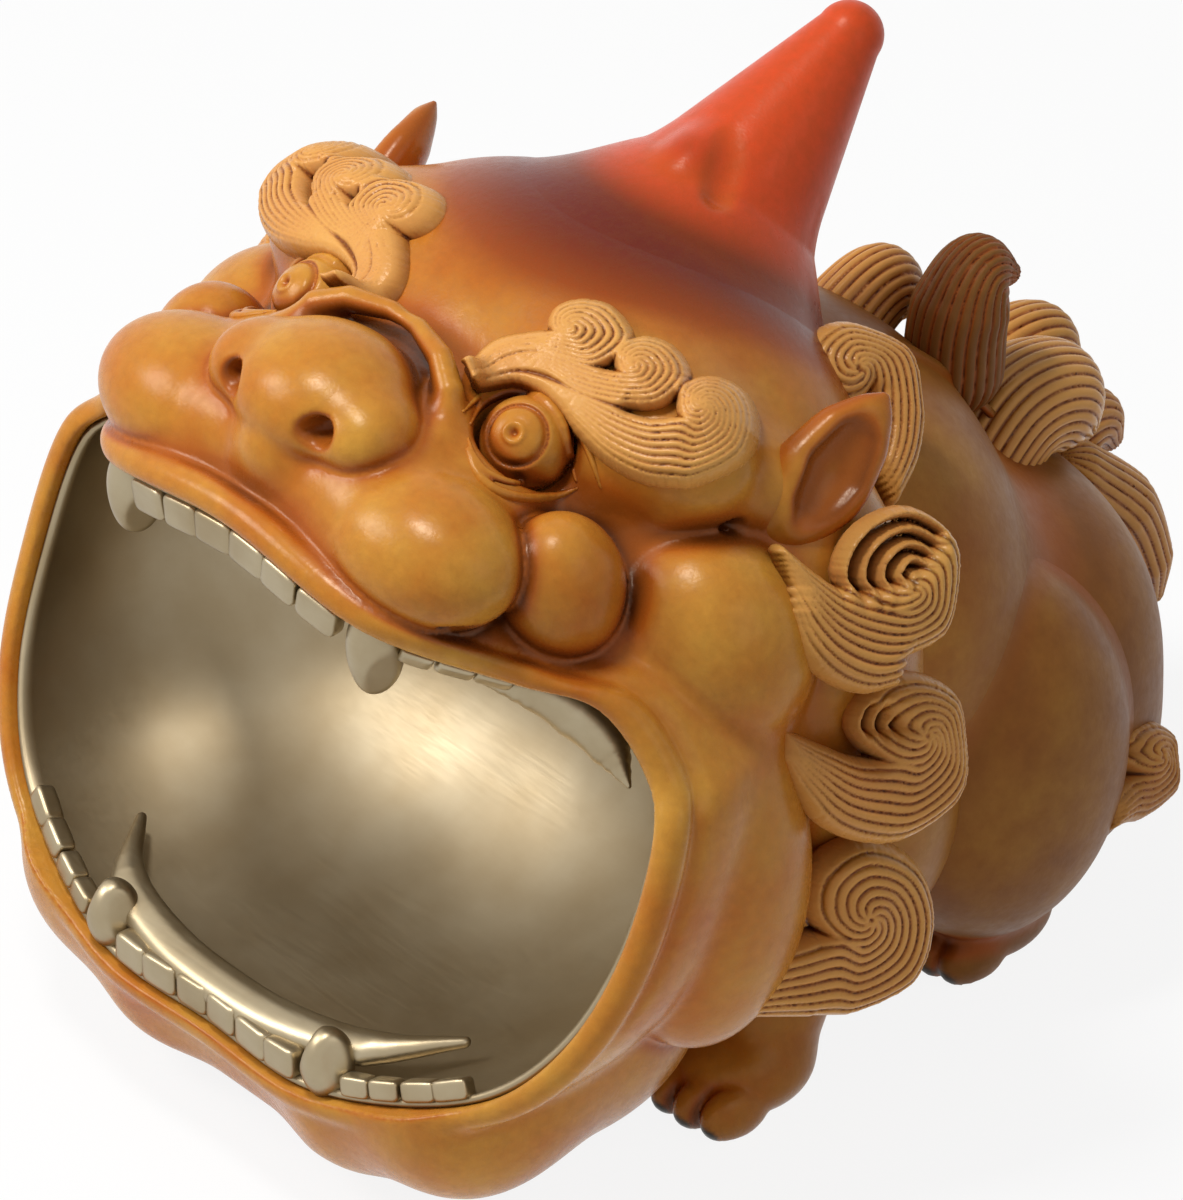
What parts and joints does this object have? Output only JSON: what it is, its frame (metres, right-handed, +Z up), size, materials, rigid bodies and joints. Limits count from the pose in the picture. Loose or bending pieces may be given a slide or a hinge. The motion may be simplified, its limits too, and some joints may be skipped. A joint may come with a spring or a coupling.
{
  "type": "pixiu statue",
  "caption": "Seated pixiu statue with a wide open mouth that serves as a bowl, curled mane, pointed horn and a bright metal mouth lining with teeth.",
  "frame": {"origin": "on the table under the middle of the statue's box", "axes": "+Z up, the face looks along -Y, the animal's left side is +X"},
  "size_m": [0.2, 0.2518, 0.2015],
  "materials": {
    "patina_ochre": "cast, with a satin ochre patina that darkens in the grooves",
    "patina_red": "cast, with a satin red-brown patina",
    "champagne_brass": "bright, finely brushed",
    "steel": "plain turned steel"
  },
  "bodies": {
    "root": {"head_shell": "patina_ochre", "body_shell": "patina_ochre", "base_plate": "patina_ochre", "eye_left": "patina_ochre", "eye_right": "patina_ochre", "brow_left": "patina_ochre", "brow_right": "patina_ochre", "ear_left": "patina_ochre", "ear_right": "patina_ochre", "mane_lock_left_1": "patina_ochre", "mane_lock_left_2": "patina_ochre", "mane_lock_left_3": "patina_ochre", "mane_lock_left_4": "patina_ochre", "mane_lock_right_1": "patina_ochre", "mane_lock_right_2": "patina_ochre", "mane_lock_right_3": "patina_ochre", "mane_lock_right_4": "patina_ochre", "front_leg_left": "patina_ochre", "front_leg_right": "patina_ochre", "hind_leg_left": "patina_ochre", "hind_leg_right": "patina_ochre", "hock_curl_left": "patina_ochre", "hock_curl_right": "patina_ochre", "back_lock_1": "patina_ochre", "back_lock_2": "patina_ochre", "back_lock_3": "patina_ochre", "back_lock_4": "patina_ochre", "back_lock_5": "patina_ochre", "back_lock_6": "patina_ochre", "horn": "patina_red", "mouth_bowl": "champagne_brass", "lower_gum": "champagne_brass", "lower_front_teeth": "champagne_brass", "upper_front_teeth": "champagne_brass", "lower_side_teeth_left": "champagne_brass", "lower_side_teeth_right": "champagne_brass", "upper_side_teeth_left": "champagne_brass", "upper_side_teeth_right": "champagne_brass", "lower_fang_left": "champagne_brass", "lower_fang_right": "champagne_brass", "upper_fang_left": "champagne_brass", "upper_fang_right": "champagne_brass", "tusk_left": "champagne_brass", "tusk_right": "champagne_brass", "bowl_stud": "steel", "stud_washer": "steel", "stud_nut": "steel", "base_screw_1": "steel", "base_screw_2": "steel", "base_screw_3": "steel", "base_screw_4": "steel"}
  },
  "joints": []
}
